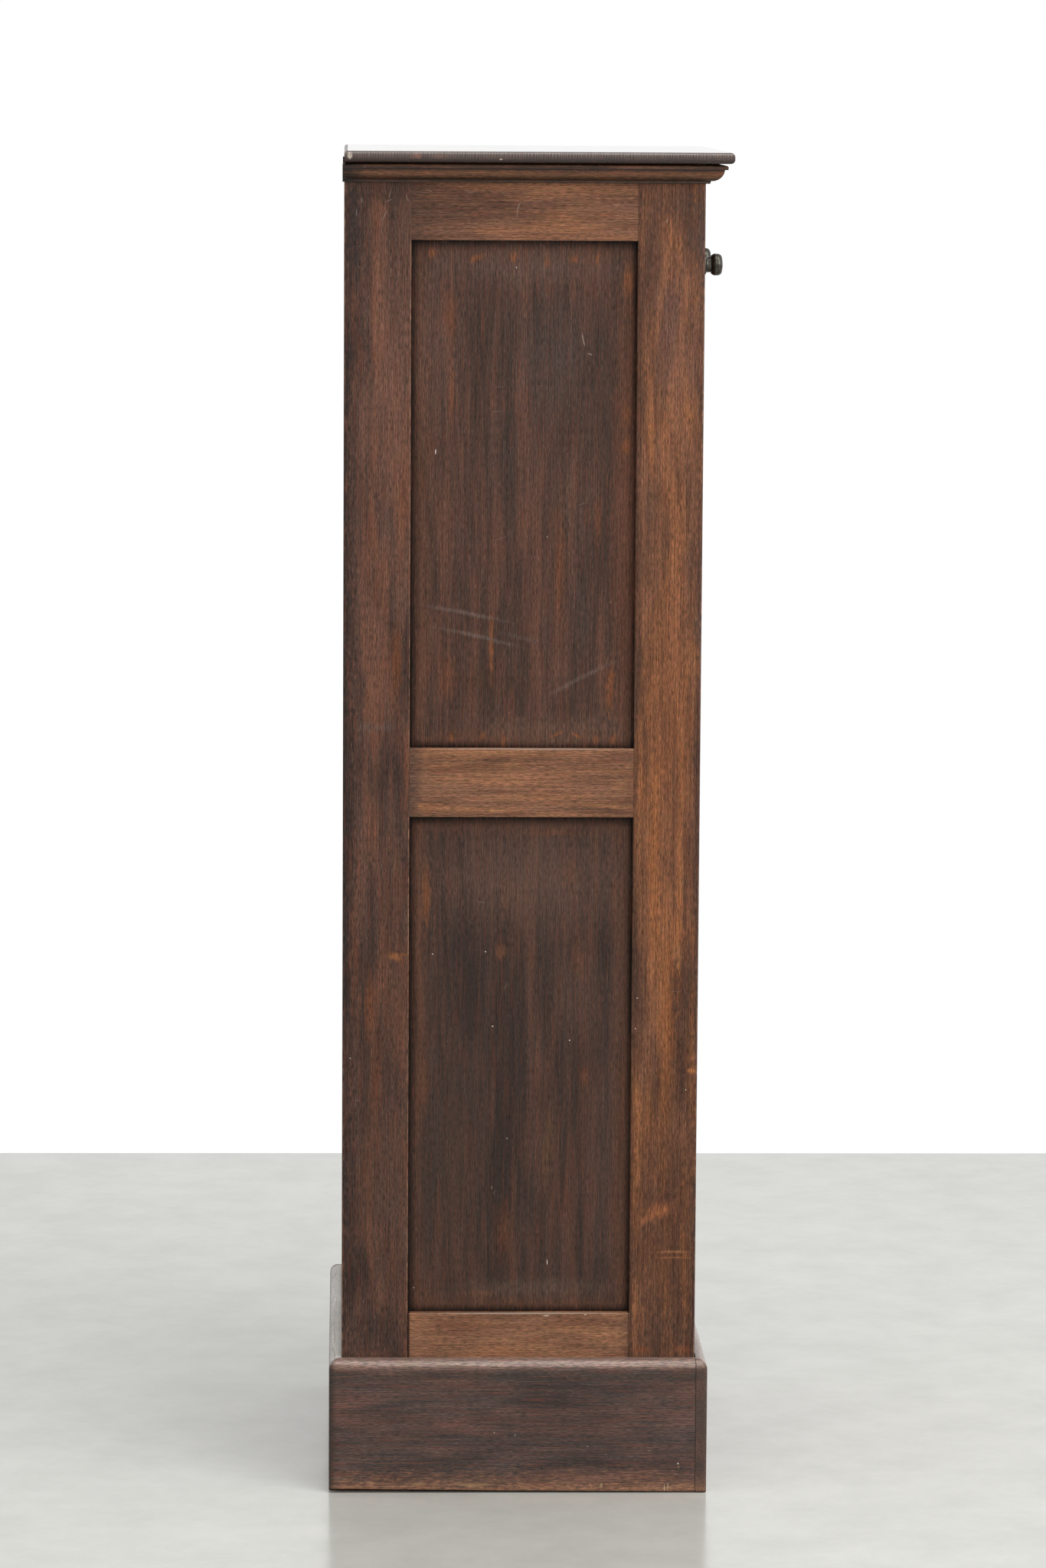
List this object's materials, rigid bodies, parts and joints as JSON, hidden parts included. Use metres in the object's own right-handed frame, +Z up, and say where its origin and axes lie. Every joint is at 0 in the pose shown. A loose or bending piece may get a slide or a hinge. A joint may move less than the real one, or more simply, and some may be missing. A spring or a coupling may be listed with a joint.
{
  "type": "tambour cabinet",
  "caption": "Tall narrow oak cabinet with framed and panelled sides, plinth, moulded cornice and a drop-down tambour front with pull knobs over fixed shelves.",
  "frame": {"origin": "on the floor, under the middle of the overall box", "axes": "+Z up, the tambour front faces -Y, +X to the right seen from the front"},
  "size_m": [0.604, 0.471, 1.603],
  "materials": {
    "oak_frame": "dark stained oak, worn satin polish",
    "oak_panel": "dark stained oak panel, scratched satin polish",
    "oak_back": "dark stained oak, duller than the sides",
    "oak_plinth": "dark stained oak, scuffed at the foot",
    "oak_top": "dark stained oak, polished",
    "oak_inside": "lighter oak, waxed",
    "oak_slats": "dark stained oak, satin polish",
    "canvas": "glued linen canvas",
    "bronze": "dark patinated bronze",
    "brass": "aged brass",
    "steel": "dull steel"
  },
  "bodies": {
    "carcass": {"front_stile_left": "oak_frame", "front_stile_right": "oak_frame", "back_stile_left": "oak_frame", "back_stile_right": "oak_frame", "side_bottom_rail_left": "oak_frame", "side_bottom_rail_right": "oak_frame", "side_mid_rail_left": "oak_frame", "side_mid_rail_right": "oak_frame", "side_top_rail_left": "oak_frame", "side_top_rail_right": "oak_frame", "head_rail": "oak_frame", "front_bottom_rail": "oak_frame", "side_lower_panel_left": "oak_panel", "side_lower_panel_right": "oak_panel", "side_upper_panel_left": "oak_panel", "side_upper_panel_right": "oak_panel", "back_bottom_rail": "oak_back", "back_mid_rail": "oak_back", "back_top_rail": "oak_back", "back_lower_panel": "oak_back", "back_upper_panel": "oak_back", "plinth_front": "oak_plinth", "plinth_back": "oak_plinth", "plinth_left": "oak_plinth", "plinth_right": "oak_plinth", "cornice_front": "oak_top", "cornice_left": "oak_top", "cornice_right": "oak_top", "top_board": "oak_top", "carcass_floor": "oak_inside", "dust_board": "oak_inside", "false_back": "oak_inside", "shelf_1": "oak_inside", "shelf_2": "oak_inside", "shelf_3": "oak_inside", "shelf_4": "oak_inside", "shelf_cleats_left": "oak_inside", "shelf_cleats_right": "oak_inside", "tambour_slats": "oak_slats", "tambour_canvas": "canvas", "strike_plate": "steel", "strike_screws": "steel"},
    "shutter": {"lead_rail": "oak_slats", "knob_left": "bronze", "knob_right": "bronze", "knob_bolts": "steel", "key_plate": "brass", "lock_case": "steel", "lock_screws": "steel"},
    "bolt": {"lock_bolt": "steel"}
  },
  "joints": [
    {"name": "shutter_slide", "type": "slide", "parent": "carcass", "child": "shutter", "axis": [0, 0, -1], "range_m": [0, 1.215], "deforming": ["tambour_slats", "tambour_canvas"]},
    {"name": "bolt_throw", "type": "slide", "parent": "shutter", "child": "bolt", "axis": [0, 0, 1], "range_m": [0, 0.008]}
  ]
}
